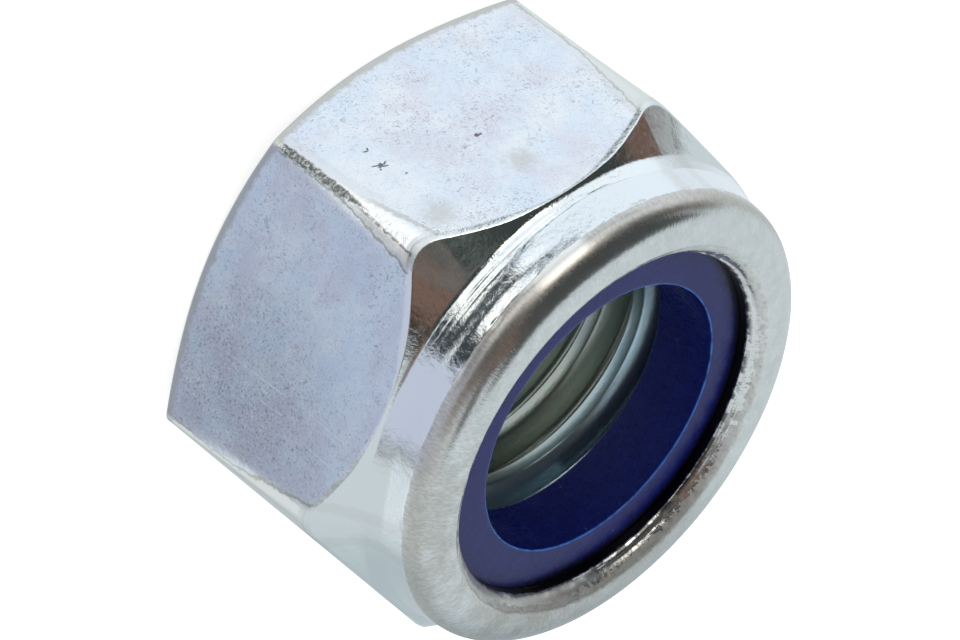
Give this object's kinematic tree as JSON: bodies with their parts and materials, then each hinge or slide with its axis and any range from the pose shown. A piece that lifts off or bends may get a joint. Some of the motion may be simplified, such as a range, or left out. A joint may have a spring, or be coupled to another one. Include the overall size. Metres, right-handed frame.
{
  "type": "nylon insert lock nut",
  "caption": "Hexagon steel lock nut with a plain collar crimped over a dark nylon ring that grips the bolt thread.",
  "frame": {"origin": "centre of the bearing face, where the nut stands on a surface", "axes": "+Z along the thread from the bearing face to the collar that holds the nylon ring; +X square to one flat of the hexagon"},
  "size_m": [0.0188, 0.0216, 0.0122],
  "materials": {
    "zinc_steel": "blue-white zinc plated steel, satin",
    "nylon": "dark navy nylon, glossy, cleanly cut"
  },
  "bodies": {
    "root": {"nut_body": "zinc_steel", "nylon_insert": "nylon"}
  },
  "joints": []
}
